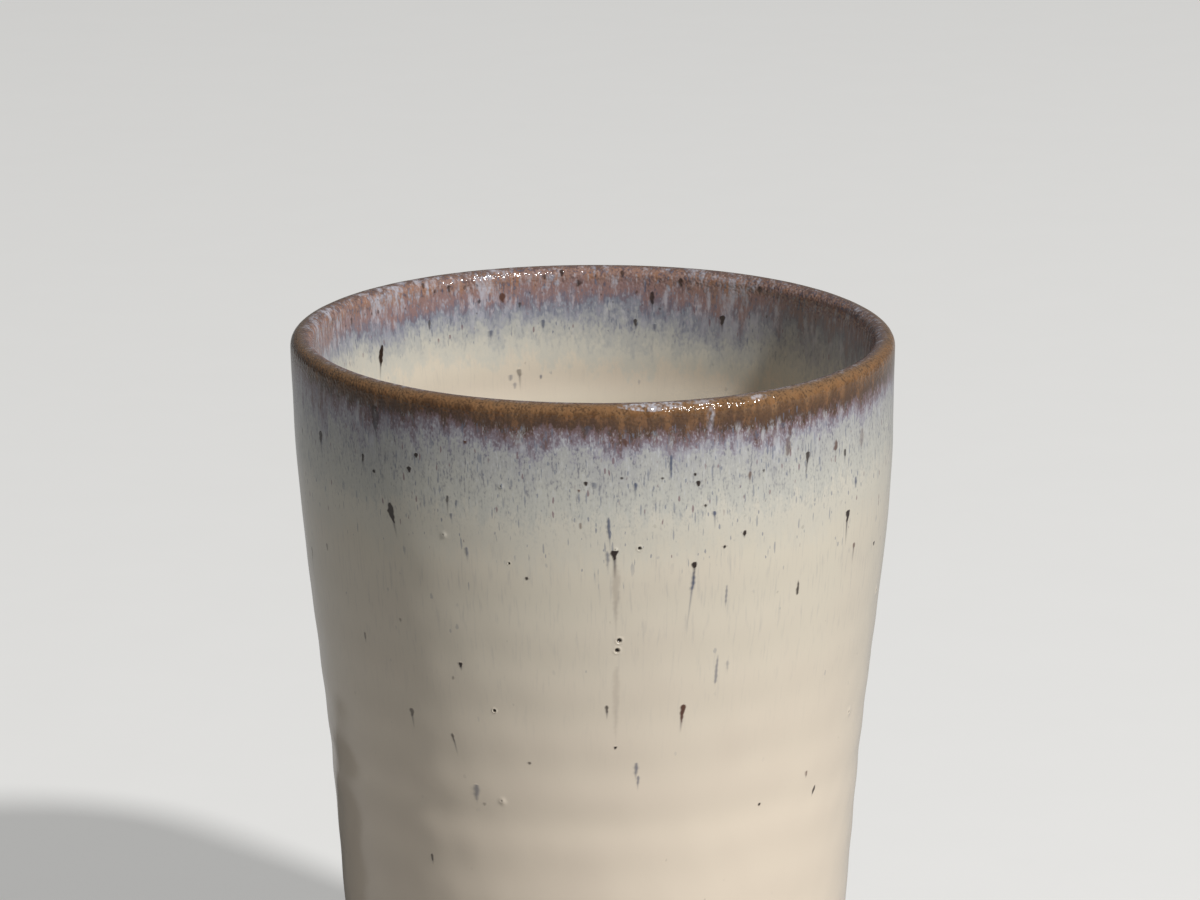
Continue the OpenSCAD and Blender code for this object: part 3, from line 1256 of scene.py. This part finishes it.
@dataclass
class GlazeMarks:
    """All marks of the glaze: those that the photograph shows, and more of their kinds out of its sight.

    A run is the arc at which the drawn marks of one side start, and how much further they go.
    """

    section: CupSection
    camera: PhotoCamera
    seed: int = 7
    hidden_from: float = math.radians(72)
    hidden_count: int = 64
    inside_count: int = 26
    widths: Span = (0.4, 0.95)
    slenderness: Span = (1.0, 3.4)
    tails: Span = (0.0, 3.4)
    strengths: Span = (0.5, 1.0)
    leans: Span = (-0.1, 0.1)
    crowding: Span = (1.1, 1.7)
    outside_run: Span = (-6.0, -104.0)
    inside_run: Span = (7.0, 108.0)
    margin: float = 0.6
    bead: float = 0.035
    tail_share: float = 0.75
    tail_blue: float = 0.5
    placed: list[PlacedMark] = field(default_factory=list)

    def __post_init__(self) -> None:
        """Places the marks."""
        self.placed += [self.seen(mark, False) for mark in (*LEFT_MARKS, *CENTRE_MARKS, *RIGHT_MARKS)]
        self.placed += [self.seen(mark, True) for mark in INSIDE_MARKS]
        self.scatter()

    def seen(self, mark: Mark, inside: bool) -> PlacedMark:
        """Follows a mark's pixel to the cup.

        Args:
            mark: the mark.
            inside: whether it is on the inner wall.

        Returns:
            The mark in its place.
        """
        nearest, farthest, step = 620.0, 800.0, 0.02
        lens = self.camera.place(self.section.lip_z)
        depth = np.arange(nearest, farthest, step)
        x, y, z = lens[:, None] + self.camera.ray(mark.x_px, mark.y_px)[:, None] * depth
        side = self.section.arc > 0 if inside else self.section.arc < 0
        line, arcs = self.section.line[side], self.section.arc[side]
        order = line[:, 1].argsort()
        wall = np.interp(z, line[order, 1], line[order, 0])
        away = np.hypot(x, y)
        hit = np.argmax((y > 0) & (away > wall) if inside else away < wall)
        arc = np.interp(z[hit], line[order, 1], arcs[order])
        return PlacedMark(mark, math.atan2(x[hit], -y[hit]), float(arc), float(wall[hit]))

    def scatter(self) -> None:
        """Draws the marks of the back and of the inside."""
        draw = np.random.default_rng(self.seed)
        lots = [IRON] * 7 + [BLUE] * 6 + [RUST] * 4 + [PIT] * 2 + [BLISTER]
        for number in range(self.hidden_count + self.inside_count):
            kind = lots[draw.integers(len(lots))]
            wide = draw.uniform(*self.widths)
            tall = wide * draw.uniform(*self.slenderness) if kind in STAIN_CHANNEL else wide
            tail = draw.uniform(*self.tails) if tall > 1.5 * wide else 0.0
            strength, lean = draw.uniform(*self.strengths), draw.uniform(*self.leans)
            mark = Mark(kind, 0, 0, wide, tall, tail, strength, lean)
            angle = (draw.uniform(self.hidden_from, TURN - self.hidden_from) + math.pi) % TURN - math.pi
            start, further = self.outside_run if number < self.hidden_count else self.inside_run
            arc = start + draw.beta(*self.crowding) * further
            radius = float(self.section.at(np.array([arc]))[0][0])
            self.placed.append(PlacedMark(mark, angle, arc, radius))

    def touched(self, angle: Points, arc: Points) -> Iterator[tuple[PlacedMark, Points, Points, Points]]:
        """Goes through the marks and the places that each of them touches.

        Args:
            angle: angles round the cup.
            arc: arcs along the section.

        Returns:
            Each mark in turn, with the numbers of the places near it and their offsets to the side and down.
        """
        for placed in self.placed:
            close = np.nonzero(placed.near(angle, arc, self.margin))[0]
            yield placed, close, *placed.local(angle[close], arc[close])

    def lift(self, angle: Points, arc: Points) -> Points:
        """Relief of the marks.

        Args:
            angle: angles round the cup.
            arc: arcs along the section.

        Returns:
            Millimetres out of the glaze.
        """
        made = np.zeros_like(angle)
        for placed, close, side, down in self.touched(angle, arc):
            if placed.mark.kind in STAIN_CHANNEL:
                made[close] += self.bead * placed.mark.strength * placed.head(side, down)
            else:
                made[close] += placed.crater(side, down)[0]
        return made

    def stain_and_painted_light(self, angle: Points, arc: Points) -> Points:
        """Stains of the marks, with painted shade in pit and blister holes and a painted reflection in the
        crown's milk patches.

        Args:
            angle: angles round the cup.
            arc: arcs along the section.

        Returns:
            Four masks for each place: iron (also painted shade in pit and blister holes), rust, blue and milk
                (also a painted reflection on the lip's crown).
        """
        made = np.zeros((len(angle), len(STAIN_CHANNEL)))
        for placed, close, side, down in self.touched(angle, arc):
            mark = placed.mark
            if mark.kind in STAIN_CHANNEL:
                head, tail = (mask(side, down) * mark.strength for mask in (placed.head, placed.tail))
                own = np.maximum(head, tail * self.tail_share)
                layers = ((mark.kind, own), (BLUE, tail * self.tail_blue))
            else:
                # painted shade: a crater's hole is darkened with the iron tint
                layers = ((IRON, placed.crater(side, down)[1]),)
            for kind, mask in layers:
                channel = STAIN_CHANNEL[kind]
                made[close, channel] = np.maximum(made[close, channel], mask)
        return made


@dataclass
class GlazedSurface:
    """The cup's glazed face, with everything that hand and kiln left in it."""

    section: CupSection
    hand: ThrowersHand
    marks: GlazeMarks

    def points(self, angle: Points, arc: Points, depth: Points) -> Points:
        """Places on the surface, or under it.

        Args:
            angle: angles round the cup.
            arc: arcs along the section.
            depth: millimetres below the glaze's face.

        Returns:
            Points in metres.
        """
        radius, height, out, up = self.section.at(arc)
        lift = self.hand.lift(angle, arc) - depth
        lift = np.where(depth > 0, lift, lift + self.marks.lift(angle, arc))
        right, wider, higher = self.hand.shift(angle, height)
        reach = radius + out * lift + wider
        z = height + up * lift + higher
        return np.column_stack([reach * np.sin(angle) + right, -reach * np.cos(angle), z]) * MM

    def facing(self, angle: Points, arc: Points) -> Points:
        """Directions out of the surface, from its slopes both ways.

        Args:
            angle: angles round the cup.
            arc: arcs along the section.

        Returns:
            Unit directions, straight up where the surface has no slope to go by.
        """
        step, least, top = 0.03, 1e-16, np.zeros_like(angle)
        turn = step / self.section.line[:, 0].max()
        along = self.points(angle, arc + step, top) - self.points(angle, arc - step, top)
        across = self.points(angle + turn, arc, top) - self.points(angle - turn, arc, top)
        normal = np.cross(across, along)
        size = np.linalg.norm(normal, axis=1, keepdims=True)
        return np.where(size > least, normal / np.maximum(size, least), np.array([0.0, 0.0, 1.0]))


@dataclass
class CoatThickness:
    """Thickness of the glaze along the section."""

    edge_arc: float
    cream: float = 0.6
    cream_lip: float = 0.2
    thin_reach: float = 20.0
    rim: float = 0.3
    rim_edge: float = 0.15
    rim_gap: float = 0.02
    lap_out: float = 14.0
    lap_in: float = 11.0
    feather: float = 0.5
    roll: float = 0.35
    roll_reach: float = 6.0

    def rim_coat(self, arc: Points) -> Points:
        """Thickness of the rim glaze."""
        return self.rim_edge + (self.rim - self.rim_edge) * ease(-np.abs(arc), -self.lap_out, 0.0)

    def total(self, arc: Points) -> Points:
        """Thickness of all the glaze on the clay.

        Args:
            arc: arcs along the section.

        Returns:
            Depth of the clay below the glaze's face.
        """
        cream = self.cream_lip + (self.cream - self.cream_lip) * ease(np.abs(arc), 0.0, self.thin_reach)
        roll = self.roll * ease(self.edge_arc + self.roll_reach - arc, 0.0, self.roll_reach)
        outer, inner = -self.lap_out, self.lap_in
        lap = ease(arc, outer - self.feather, outer) * ease(arc, inner + self.feather, inner)
        return cream + roll + lap * self.rim_coat(arc)


@dataclass
class TurnedPiece:
    """A closed piece swept round the cup's axis along a chain of rows, of which the shown ones are seen.

    Its sheet is the piece laid out flat, with the angle as x and the row as y. Within each of the margins
    round a mark, the sheet's faces are halved if they are still wider than stain_face or crater_face.
    """

    surface: GlazedSurface
    coats: CoatThickness
    name: str
    node: str
    slot: str
    columns: int
    strips: int
    step: float
    stain_face: float = 0.2
    crater_face: float = 0.12
    margins: tuple[float, ...] = (0.9, 0.45, 0.15)
    seam_free: float = 0.98 * math.pi
    arc: Points = field(init=False)
    depth: Points = field(init=False)
    first_shown: int = field(init=False)
    last_shown: int = field(init=False)

    def chain(self, *stretches: tuple[Points, Points], shown: int) -> None:
        """Joins stretches of rows.

        Args:
            stretches: arcs and depths of each stretch.
            shown: number of the stretch that is seen.
        """
        counts = np.cumsum([0] + [len(arc) for arc, _ in stretches])
        self.arc, self.depth = (np.concatenate(parts) for parts in zip(*stretches))
        self.first_shown, self.last_shown = int(counts[shown]), int(counts[shown + 1]) - 1

    def along(self, row: Points) -> tuple[Points, Points]:
        """Arc and depth at rows of the chain."""
        number = np.arange(len(self.arc))
        return np.interp(row, number, self.arc), np.interp(row, number, self.depth)

    def place(self, angle: Points, row: Points) -> Points:
        """Points of the piece, in metres."""
        return self.surface.points(angle, *self.along(row))

    def reach(self, row: Points) -> Points:
        """Distance of rows from the cup's axis."""
        return self.surface.section.at(self.along(row)[0])[0]

    def is_shown(self, row: Points) -> Points:
        """Which rows are on the face that is seen."""
        return (row >= self.first_shown) & (row <= self.last_shown)

    def sheet(self) -> bmesh.types.BMesh:
        """Lays the rows and columns out flat.

        Returns:
            The sheet.
        """
        flat = bmesh.new()
        angles = np.linspace(-math.pi, math.pi, self.columns + 1)
        grid = [[flat.verts.new((angle, row, 0)) for angle in angles] for row in range(len(self.arc))]
        for low, high in zip(grid, grid[1:]):
            for column in range(self.columns):
                flat.faces.new((low[column], low[column + 1], high[column + 1], high[column]))
        return flat

    def refine(self, flat: bmesh.types.BMesh) -> None:
        """Divides the sheet where a mark needs finer faces.

        Args:
            flat: the sheet, which is changed.
        """
        width = TURN * self.surface.section.at(np.array([self.arc[self.first_shown]]))[0][0] / self.columns
        for level, margin in enumerate(self.margins):
            quads = [face for face in flat.faces if len(face.verts) == 4]
            angle, row = np.array([face.calc_center_median()[:2] for face in quads]).T
            arc, _ = self.along(row)
            inner = (np.abs(angle) < self.seam_free) & self.is_shown(row)
            wanted = np.zeros(len(quads), bool)
            for placed in self.surface.marks.placed:
                if width / 2 ** level > self.finest(placed.mark):
                    wanted |= placed.near(angle, arc, margin) & inner
            for edge in flat.edges:
                edge.tag = False
            for index in np.nonzero(wanted)[0]:
                for edge in quads[index].edges:
                    edge.tag = True
            chosen = [edge for edge in flat.edges if edge.tag]
            bmesh.ops.subdivide_edges(flat, edges=chosen, cuts=1, use_grid_fill=True)
        odd = [face for face in flat.faces if len(face.verts) > 4]
        bmesh.ops.triangulate(flat, faces=odd)

    def finest(self, mark: Mark) -> float:
        """Widest face, in millimetres, that still draws a mark."""
        return self.stain_face if mark.kind in STAIN_CHANNEL else self.crater_face

    def build(self) -> bpy.types.Object:
        """Models the piece.

        Returns:
            The object, on its body and in the place of its CAD node.
        """
        slack = 1e-5
        flat = self.sheet()
        self.refine(flat)
        mesh = bpy.data.meshes.new(self.name)
        flat.to_mesh(mesh)
        flat.free()
        angle, row, _ = points_of(mesh).T
        self.lay_out(mesh, angle, row)
        self.describe(mesh, angle, row)
        mesh.vertices.foreach_set("co", self.place(angle, row).ravel())
        last = len(self.arc) - 1
        self.close(mesh, (np.abs(angle) > math.pi - slack) | (row < slack) | (row > last - slack))
        self.smooth(mesh)
        piece = bpy.data.objects.new(self.name, mesh)
        bpy.context.scene.collection.objects.link(piece)
        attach(piece, BODY)
        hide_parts(self.node)
        return piece

    def dress(self, piece: bpy.types.Object, finish: bpy.types.Material) -> None:
        """Gives the modelled piece its finish and reports it."""
        piece.data.materials.append(finish)
        LOG.info("%s: %d faces, %s", piece.name, len(piece.data.polygons), finish.name)

    def lay_out(self, mesh: bpy.types.Mesh, angle: Points, row: Points) -> None:
        """Lays the shown face out in strips over most of the texture, and the hidden faces in a narrow band.

        Args:
            mesh: the flat mesh.
            angle: angle of each point.
            row: row of each point.
        """
        gap, band = 0.012, 0.94
        corner, face = corners_of(mesh)
        sizes = np.bincount(face)
        middle_angle, middle_row = (np.bincount(face, part[corner]) / sizes for part in (angle, row))
        shown = self.is_shown(middle_row)
        store(mesh, "shown", "FLOAT", shown, "FACE")
        turn = (angle[corner] + math.pi) / TURN * self.strips
        strip = np.floor((middle_angle + math.pi) / TURN * self.strips).clip(0, self.strips - 1)[face]
        u = gap + (1 - 2 * gap) * (turn - strip)
        rows = self.last_shown - self.first_shown
        front = (strip + gap + (1 - 2 * gap) * (row[corner] - self.first_shown) / rows) / self.strips * band
        back = band + gap + (1 - band - gap) * (strip + row[corner] / len(self.arc)) / self.strips
        layer = mesh.uv_layers.new(name="OFBake")
        layer.data.foreach_set("uv", np.column_stack([u, np.where(shown[face], front, back)]).ravel())

    def describe(self, mesh: bpy.types.Mesh, angle: Points, row: Points) -> None:
        """Stores what the finish and the shading read: place on the surface, stains with painted shade and a
        painted reflection, thin places and slopes.

        Args:
            mesh: the mesh.
            angle: angle of each point.
            row: row of each point.
        """
        arc, _ = self.along(row)
        radius = self.reach(row)
        flow = np.column_stack([radius * np.sin(angle), -radius * np.cos(angle), arc])
        store(mesh, "flow", "FLOAT_VECTOR", flow)
        store(mesh, "stain_and_painted_light", "FLOAT_COLOR", self.surface.marks.stain_and_painted_light(angle, arc))
        store(mesh, "thin", "FLOAT", self.surface.hand.thinned(angle, arc))
        store(mesh, "facing", "FLOAT_VECTOR", self.surface.facing(angle, arc))

    def close(self, mesh: bpy.types.Mesh, border: Points) -> None:
        """Joins the sheet's edges.

        Args:
            mesh: the mesh, which is changed.
            border: which points lie on the sheet's edges.
        """
        reach = 1e-7
        made = bmesh.new()
        made.from_mesh(mesh)
        edge = [vert for vert, on_edge in zip(made.verts, border) if on_edge]
        bmesh.ops.remove_doubles(made, verts=edge, dist=reach)
        made.to_mesh(mesh)
        made.free()

    def smooth(self, mesh: bpy.types.Mesh) -> None:
        """Shades the piece smoothly, and takes off what only its shading reads.

        Args:
            mesh: the mesh, which is changed.
        """
        mesh.polygons.foreach_set("use_smooth", np.ones(len(mesh.polygons), bool))
        self.set_normals(mesh)
        for name in ("facing", "shown"):
            mesh.attributes.remove(mesh.attributes[name])
        mesh.update()

    def set_normals(self, mesh: bpy.types.Mesh) -> None:
        """Shades the shown face by the surface's own slopes, so that coats meet without a seam.

        Args:
            mesh: the mesh, which is changed.
        """
        facing = np.empty(len(mesh.vertices) * 3)
        mesh.attributes["facing"].data.foreach_get("vector", facing)
        shown = np.empty(len(mesh.polygons))
        mesh.attributes["shown"].data.foreach_get("value", shown)
        corner, face = corners_of(mesh)
        normals = facing.reshape(-1, 3)[corner] * shown[face, None]
        mesh.normals_split_custom_set(normals.tolist())


@dataclass
class RimCoat(TurnedPiece):
    """The rim glaze, dipped over the lip."""

    name: str = "rim_coat"
    node: str = "rim_glaze"
    slot: str = "rim_glaze"
    columns: int = 560
    strips: int = 4
    step: float = 0.34
    under_every: int = 3

    def __post_init__(self) -> None:
        """Rows over the lip, and back underneath."""
        rows = round((self.coats.lap_out + self.coats.lap_in) / self.step)
        face = np.linspace(-self.coats.lap_out, self.coats.lap_in, rows)
        under = face[::-1][::self.under_every]
        self.chain(
            (face, np.zeros(rows)),
            (under, self.coats.rim_coat(under)),
            (face[:1], np.zeros(1)),
            shown=0,
        )


@dataclass
class OutsideCoat(TurnedPiece):
    """The cream glaze outside, from the roll at its lower edge up under the rim glaze.

    Each wave of the lower edge has its turns round the cup, its phase and its share of edge_wave.
    """

    name: str = "outside_coat"
    node: str = "outer_glaze"
    slot: str = "cream_glaze"
    columns: int = 256
    strips: int = 2
    step: float = 1.0
    bead_rows: int = 9
    lap_rows: int = 9
    back_rows: int = 26
    edge_wave: float = 0.8
    wave_reach: float = 9.0
    waves: tuple[tuple[int, float, float], ...] = ((3, 0.7, 0.28), (7, 2.0, 0.15), (17, 0.0, 0.07))

    def __post_init__(self) -> None:
        """Rows up the wall, under the rim glaze, and back down on the clay."""
        start, lap = self.surface.section.edge_arc, -self.coats.lap_out
        bead = float(self.coats.total(np.array([start]))[0])
        swing = np.linspace(90, 0, self.bead_rows)[:-1] * math.pi / 180
        roll, roll_depth = start + bead * (1 - np.sin(swing)), bead * (1 - np.cos(swing))
        rows = round((lap - start - bead) / self.step)
        under = np.linspace(lap, 0, self.lap_rows)
        back = np.concatenate([under[::-1], np.linspace(lap, start, self.back_rows)[1:]])
        self.chain(
            (roll, roll_depth),
            (np.linspace(start + bead, lap, rows), np.zeros(rows)),
            (under, self.coats.rim_coat(under) + self.coats.rim_gap),
            (back, self.coats.total(back)),
            (roll[:1], roll_depth[:1]),
            shown=1,
        )

    def place(self, angle: Points, row: Points) -> Points:
        """Places the coat, with its lower edge uneven.

        Args:
            angle: angle of each point.
            row: row of each point.

        Returns:
            Points in metres.
        """
        arc, depth = self.along(row)
        wave = sum((share * np.sin(turns * angle + phase) for turns, phase, share in self.waves), 0.5)
        near = ease(self.surface.section.edge_arc + self.wave_reach - arc, 0.0, self.wave_reach)
        return self.surface.points(angle, arc + self.edge_wave * wave * near, depth)


@dataclass
class InsideCoat(TurnedPiece):
    """The cream glaze inside, from under the rim glaze down over the floor."""

    name: str = "inside_coat"
    node: str = "liner_glaze"
    slot: str = "cream_glaze"
    columns: int = 256
    strips: int = 2
    step: float = 1.25
    lap_rows: int = 8
    back_rows: int = 40

    def __post_init__(self) -> None:
        """Rows up the clay, under the rim glaze, and down the face to the floor's middle."""
        end, lap = self.surface.section.floor_arc, self.coats.lap_in
        rows = round((end - lap) / self.step)
        under = np.linspace(0, lap, self.lap_rows)
        back = np.concatenate([np.linspace(end, lap, self.back_rows), under[::-1][1:]])
        self.chain(
            (back, self.coats.total(back)),
            (under, self.coats.rim_coat(under) + self.coats.rim_gap),
            (np.linspace(lap, end, rows), np.zeros(rows)),
            shown=2,
        )


@dataclass
class ClayBody(TurnedPiece):
    """The thrown clay: a turned foot that is left bare, and the wall and floor under the glaze.

    The foot's standing ring and its sides are found among the packed clay's rings by their heights.
    """

    name: str = "thrown_clay"
    node: str = "clay_body"
    slot: str = "stoneware"
    columns: int = 300
    strips: int = 4
    step: float = 0.3
    groove: float = 0.06
    groove_pitch: float = 1.7
    groove_from: Span = (0.0, 4.0)
    groove_to: Span = (6.0, 9.0)
    standing_below: float = 0.01
    side_between: Span = (0.1, 1.2)
    foot_edge: float = 0.6
    foot_top: float = 3.6
    hollow_edge: float = 0.8
    hollow_round: float = 0.4
    heel_rows: int = 20
    heel_reach: float = 10.0
    wall_rows: int = 90
    wall_from: float = 13.0
    soft_passes: int = 2
    soft_width: int = 3
    bare: Points = field(init=False)

    def __post_init__(self) -> None:
        """Rows from the middle of the underside out round the foot, then up under the glaze."""
        self.bare = self.foot_line(rings(frame["nodes"][self.node]))
        start, end = self.surface.section.edge_arc, self.surface.section.floor_arc
        heel = np.linspace(start, start + self.heel_reach, self.heel_rows)
        hidden = np.concatenate([heel, np.linspace(start + self.wall_from, end, self.wall_rows)])
        travel = travelled(self.bare)
        self.chain(
            (travel - travel[-1], np.zeros(len(travel))),
            (hidden, self.coats.total(hidden) + self.coats.rim_gap),
            shown=0,
        )

    def foot_line(self, found: Points) -> Points:
        """Reads the foot off the packed clay and softens its corners.

        Args:
            found: radius and height of the clay's rings.

        Returns:
            Radius and height of points from the axis out to the glaze, evenly stepped.
        """
        radius, height = found.T
        low, high = self.side_between
        standing = radius[height < self.standing_below]
        side = radius[(height > low) & (height < high)]
        hollow_z = height[radius < standing.min() - 1].min()
        top = np.array([self.surface.section.edge_arc])
        reach, z, out, up = (float(part[0]) for part in self.surface.section.at(top))
        depth = float(self.coats.total(top)[0])
        corners = np.array([
            (0.0, hollow_z),
            (side.min() - self.hollow_round, hollow_z),
            (side.min(), hollow_z - self.hollow_edge),
            (side.min(), self.foot_edge),
            (standing.min(), 0.0),
            (standing.max(), 0.0),
            (side.max(), self.foot_edge),
            (side.max(), self.foot_top),
            (reach - out * depth, z - up * depth),
        ])
        far = travelled(corners)
        even = np.linspace(0, far[-1], round(far[-1] / self.step))
        line = np.column_stack([np.interp(even, far, part) for part in corners.T])
        kernel = np.ones(self.soft_width) / self.soft_width
        for _ in range(self.soft_passes):
            padded = np.pad(line, ((1, 1), (0, 0)), "edge")
            line[1:-1] = np.column_stack([np.convolve(part, kernel, "valid") for part in padded.T])[1:-1]
        line[:, 1] = np.maximum(line[:, 1], 0.0)
        return line

    def reach(self, row: Points) -> Points:
        """Distance of rows from the cup's axis, on the foot's own line where it is bare."""
        bare = np.interp(row, np.arange(len(self.bare)), self.bare[:, 0])
        return np.where(row < len(self.bare), bare, super().reach(row))

    def place(self, angle: Points, row: Points) -> Points:
        """Places the clay: the turned foot by its own line, the rest under the glaze.

        Args:
            angle: angle of each point.
            row: row of each point.

        Returns:
            Points in metres.
        """
        number = np.arange(len(self.bare))
        radius, height = (np.interp(row, number, part) for part in self.bare.T)
        turned = np.cos(TURN * radius / self.groove_pitch - angle) * ease(radius, *self.groove_from)
        height = height + self.groove * turned * ease(self.bare[:, 0].max() - radius, *self.groove_to)
        foot = np.column_stack([radius * np.sin(angle), -radius * np.cos(angle), height]) * MM
        return np.where((row < len(self.bare))[:, None], foot, super().place(angle, row))

    def refine(self, flat: bmesh.types.BMesh) -> None:
        """Leaves the rows as they are, because bare clay has no glaze marks."""

    def set_normals(self, mesh: bpy.types.Mesh) -> None:
        """Leaves the clay's shading to its own faces."""


@dataclass(frozen=True)
class Studio:
    """Pale floor, one soft key lamp from the right, and an even pale room."""

    floor_size: float = 8.0
    key_turn: float = math.radians(46)
    key_rise: float = math.radians(41)
    key_far: float = 3.0
    key_size: float = 0.24
    key_watts: float = 97.0
    aim: tuple[float, float, float] = (0.0, 0.0, 0.09)
    room: Colour = (0.94, 0.97, 1.0, 1.0)
    room_light: float = 0.14
    room_seen: float = 0.8

    def build(self) -> None:
        """Makes the floor, the lamp and the room."""
        self.floor()
        self.key()
        self.sky()
        bpy.context.scene.view_settings.view_transform = "Standard"

    def floor(self) -> None:
        """Lays the floor at the height that the foot stands on."""
        half = self.floor_size / 2
        mesh = bpy.data.meshes.new("floor")
        corners = [(-half, -half, 0), (half, -half, 0), (half, half, 0), (-half, half, 0)]
        mesh.from_pydata(corners, [], [(0, 1, 2, 3)])
        mesh.materials.append(FloorFinish("floor").make())
        floor = bpy.data.objects.new("floor", mesh)
        bpy.context.scene.collection.objects.link(floor)
        floor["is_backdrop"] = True

    def key(self) -> None:
        """Hangs the lamp."""
        data = bpy.data.lights.new("key", "AREA")
        data.shape = "DISK"
        data.size = self.key_size
        data.energy = self.key_watts
        lamp = bpy.data.objects.new("key", data)
        level, rise = math.cos(self.key_rise), math.sin(self.key_rise)
        away = np.array([math.sin(self.key_turn) * level, -math.cos(self.key_turn) * level, rise])
        lamp.location = np.array(self.aim) + away * self.key_far
        lamp.rotation_euler = (math.pi / 2 - self.key_rise, 0, self.key_turn)
        bpy.context.scene.collection.objects.link(lamp)

    def sky(self) -> None:
        """Lights the room evenly, and shows it paler than it lights."""
        world = bpy.data.worlds.new("room")
        bpy.context.scene.world = world
        maker = NodeMaker(world, "Background")
        maker.feed(maker.shader.inputs["Color"], self.room)
        strength = maker.seen() * (self.room_seen - self.room_light) + self.room_light
        maker.feed(maker.shader.inputs["Strength"], strength)


def main() -> None:
    """Builds the camera, the cup's pieces and the studio."""
    logging.basicConfig(level=logging.INFO, format="%(name)s %(message)s")
    section = CupSection.from_nodes(frame["nodes"])
    camera = PhotoCamera()
    camera.build(section.lip_z)
    hand = ThrowersHand(section.lip_z, section.floor_arc)
    surface = GlazedSurface(section, hand, GlazeMarks(section, camera))
    coats = CoatThickness(section.edge_arc)
    cream, rim = (GlazeFinish(name).make() for name in ("cream_glaze", "rim_glaze"))
    stoneware = StonewareFinish("stoneware").make()
    for kind, finish in ((ClayBody, stoneware), (OutsideCoat, cream), (InsideCoat, cream), (RimCoat, rim)):
        piece = kind(surface, coats)
        piece.dress(piece.build(), finish)
    Studio().build()
    boxes = {"cad": CAD_BOX, "visual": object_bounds()}
    {name: [list(corner) for corner in box] for name, box in boxes.items()}


if __name__ == "__main__":
    main()
